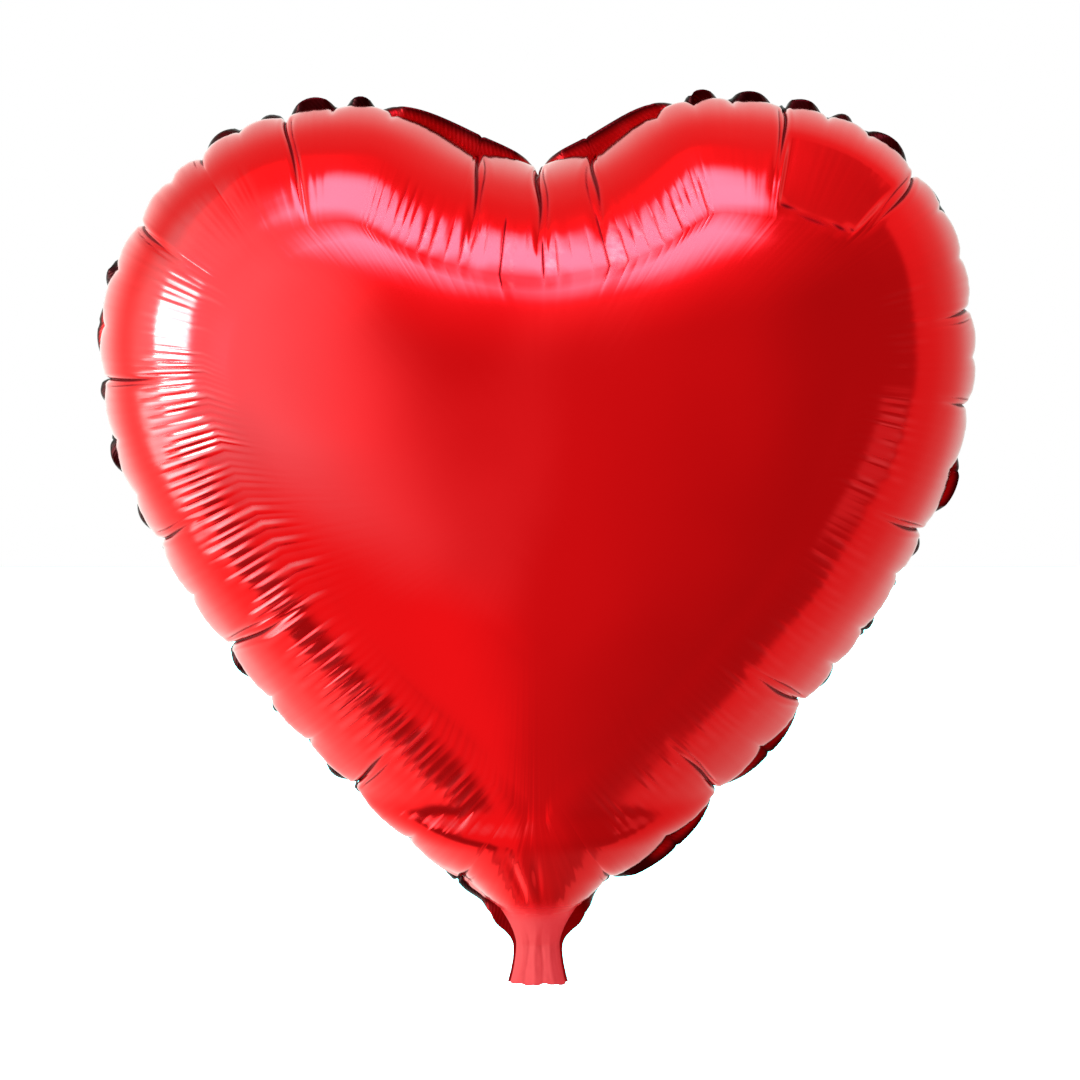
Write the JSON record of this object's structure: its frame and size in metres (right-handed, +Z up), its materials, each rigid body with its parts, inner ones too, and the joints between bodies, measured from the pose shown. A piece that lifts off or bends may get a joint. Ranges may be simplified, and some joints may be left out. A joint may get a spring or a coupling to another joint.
{
  "type": "foil balloon",
  "caption": "Inflated heart-shaped balloon of two metallised films with a welded edge, a folding filling tail and a self-sealing valve.",
  "frame": {"origin": "middle of the filling tail at its narrowest place, where the ribbon is tied", "axes": "+Z up from the tail to the lobes, -Y out of the front film, +X to the right seen from the front; the seam lies in the plane Y = 0"},
  "size_m": [0.3872, 0.1684, 0.389],
  "materials": {
    "red_film": "bright red metallised plastic film",
    "welded_margin": "heat-sealed edge of the same film, crimped and duller",
    "valve_film": "clear soft polyethylene"
  },
  "bodies": {
    "envelope": {"front_panel": "red_film", "rear_panel": "red_film", "seam_flange": "welded_margin"},
    "tail": {"tail_front": "red_film", "tail_rear": "red_film", "tail_seam_left": "welded_margin", "tail_seam_right": "welded_margin", "valve_front_liner": "valve_film", "valve_rear_liner": "valve_film"},
    "valve_front": {"valve_front_flap": "valve_film"},
    "valve_rear": {"valve_rear_flap": "valve_film"}
  },
  "joints": [
    {"name": "tail_fold", "type": "hinge", "parent": "envelope", "child": "tail", "pos_m": [0, 0, 0.0115], "axis": [1, 0, 0], "range_deg": [-80, 80], "stiffness_Nm_per_rad": 0.0003},
    {"name": "valve_front_bow", "type": "hinge", "parent": "envelope", "child": "valve_front", "pos_m": [0, -0.00055, 0.0215], "axis": [1, 0, 0], "range_deg": [0, 6], "stiffness_Nm_per_rad": 0.0002},
    {"name": "valve_rear_bow", "type": "hinge", "parent": "envelope", "child": "valve_rear", "pos_m": [0, 0.00055, 0.0215], "axis": [1, 0, 0], "range_deg": [-6, 0], "stiffness_Nm_per_rad": 0.0002}
  ],
  "couplings": [
    {"joint": "valve_rear_bow", "follows": "valve_front_bow", "ratio": -1}
  ]
}
